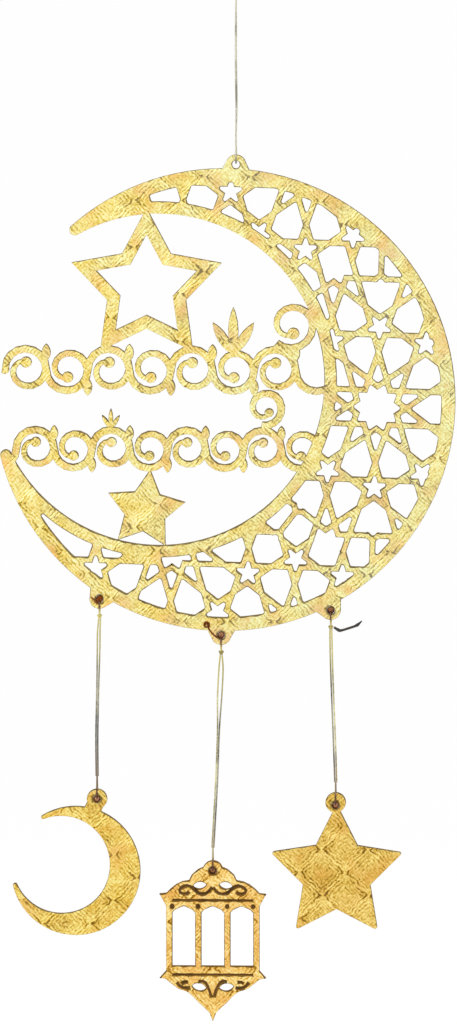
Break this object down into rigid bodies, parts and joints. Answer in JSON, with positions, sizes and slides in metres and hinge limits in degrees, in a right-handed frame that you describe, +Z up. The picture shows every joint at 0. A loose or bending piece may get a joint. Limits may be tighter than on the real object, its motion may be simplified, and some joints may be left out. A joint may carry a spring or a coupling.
{
  "type": "hanging crescent ornament",
  "caption": "Hanging laser-cut crescent panel with star lattice, vine bands and stars, on a thread, with moon, lantern and star charms below it.",
  "frame": {"origin": "where the top loop hangs, at the inside top of the loop", "axes": "X to the right seen from the front, -Y towards the viewer, Z up"},
  "size_m": [0.1969, 0.0046, 0.4569],
  "materials": {
    "thread": "fine pale gold nylon thread",
    "thread_tail": "singed dark end of the thread",
    "knot": "tight brown knot in the thread",
    "board": "laser-cut fibre board with burnt brown edges",
    "foil_panel": "light gold metallised foil, embossed with nested diamonds",
    "foil_charm": "deeper gold metallised foil, embossed with nested diamonds"
  },
  "bodies": {
    "hanging_loop": {"hanging_loop": "thread"},
    "knot_link": {"top_knot": "knot"},
    "hanging_cord": {"hanging_cord": "thread"},
    "panel": {"crescent_board": "board", "crescent_front_foil": "foil_panel", "crescent_back_foil": "foil_panel"},
    "moon_link": {"moon_lug_loop": "thread", "moon_knot": "knot"},
    "moon_cord": {"moon_cord": "thread"},
    "moon_hook": {"moon_ring_loop": "thread"},
    "moon_charm": {"moon_board": "board", "moon_front_foil": "foil_charm", "moon_back_foil": "foil_charm"},
    "lantern_link": {"lantern_lug_loop": "thread", "lantern_knot": "knot"},
    "lantern_cord": {"lantern_cord": "thread"},
    "lantern_hook": {"lantern_ring_loop": "thread"},
    "lantern_charm": {"lantern_board": "board", "lantern_front_foil": "foil_charm", "lantern_back_foil": "foil_charm"},
    "star_link": {"star_lug_loop": "thread", "star_knot": "knot", "star_cord_tail": "thread_tail"},
    "star_cord": {"star_cord": "thread"},
    "star_hook": {"star_ring_loop": "thread"},
    "star_charm": {"star_board": "board", "star_front_foil": "foil_charm", "star_back_foil": "foil_charm"}
  },
  "joints": [
    {"name": "cord_tilt", "type": "hinge", "parent": "hanging_loop", "child": "knot_link", "pos_m": [0, 0, -0.01098], "axis": [1, 0, 0], "range_deg": [-25, 25]},
    {"name": "cord_turn", "type": "hinge", "parent": "knot_link", "child": "hanging_cord", "pos_m": [0, 0, -0.01295], "axis": [0, 0, 1], "range_deg": [-180, 180]},
    {"name": "panel_swing", "type": "hinge", "parent": "hanging_cord", "child": "panel", "pos_m": [0, 0, -0.08533], "axis": [0, 1, 0], "range_deg": [-15, 15]},
    {"name": "moon_swing", "type": "hinge", "parent": "panel", "child": "moon_link", "pos_m": [-0.0591, 0, -0.27333], "axis": [0, 1, 0], "range_deg": [-4, 30]},
    {"name": "moon_tilt", "type": "hinge", "parent": "moon_link", "child": "moon_cord", "pos_m": [-0.0591, 0, -0.28191], "axis": [1, 0, 0], "range_deg": [-25, 25]},
    {"name": "moon_turn", "type": "hinge", "parent": "moon_cord", "child": "moon_hook", "pos_m": [-0.0602, 0, -0.35032], "axis": [0, 0, 1], "range_deg": [-165, 165]},
    {"name": "moon_rock", "type": "hinge", "parent": "moon_hook", "child": "moon_charm", "pos_m": [-0.0602, 0, -0.36], "axis": [0, 1, 0], "range_deg": [-12, 20]},
    {"name": "lantern_swing", "type": "hinge", "parent": "panel", "child": "lantern_link", "pos_m": [-0.00639, 0, -0.28879], "axis": [0, 1, 0], "range_deg": [-6, 3.5]},
    {"name": "lantern_tilt", "type": "hinge", "parent": "lantern_link", "child": "lantern_cord", "pos_m": [-0.00639, 0, -0.29737], "axis": [1, 0, 0], "range_deg": [-25, 25]},
    {"name": "lantern_turn", "type": "hinge", "parent": "lantern_cord", "child": "lantern_hook", "pos_m": [-0.01, 0, -0.38112], "axis": [0, 0, 1], "range_deg": [-180, 180]},
    {"name": "lantern_rock", "type": "hinge", "parent": "lantern_hook", "child": "lantern_charm", "pos_m": [-0.01, 0, -0.3908], "axis": [0, 1, 0], "range_deg": [-20, 20]},
    {"name": "star_swing", "type": "hinge", "parent": "panel", "child": "star_link", "pos_m": [0.04107, 0, -0.2777], "axis": [0, 1, 0], "range_deg": [-30, 5]},
    {"name": "star_tilt", "type": "hinge", "parent": "star_link", "child": "star_cord", "pos_m": [0.04107, 0, -0.28628], "axis": [1, 0, 0], "range_deg": [-25, 25]},
    {"name": "star_turn", "type": "hinge", "parent": "star_cord", "child": "star_hook", "pos_m": [0.0432, 0, -0.35252], "axis": [0, 0, 1], "range_deg": [-180, 180]},
    {"name": "star_rock", "type": "hinge", "parent": "star_hook", "child": "star_charm", "pos_m": [0.0432, 0, -0.3622], "axis": [0, 1, 0], "range_deg": [-20, 12]}
  ]
}
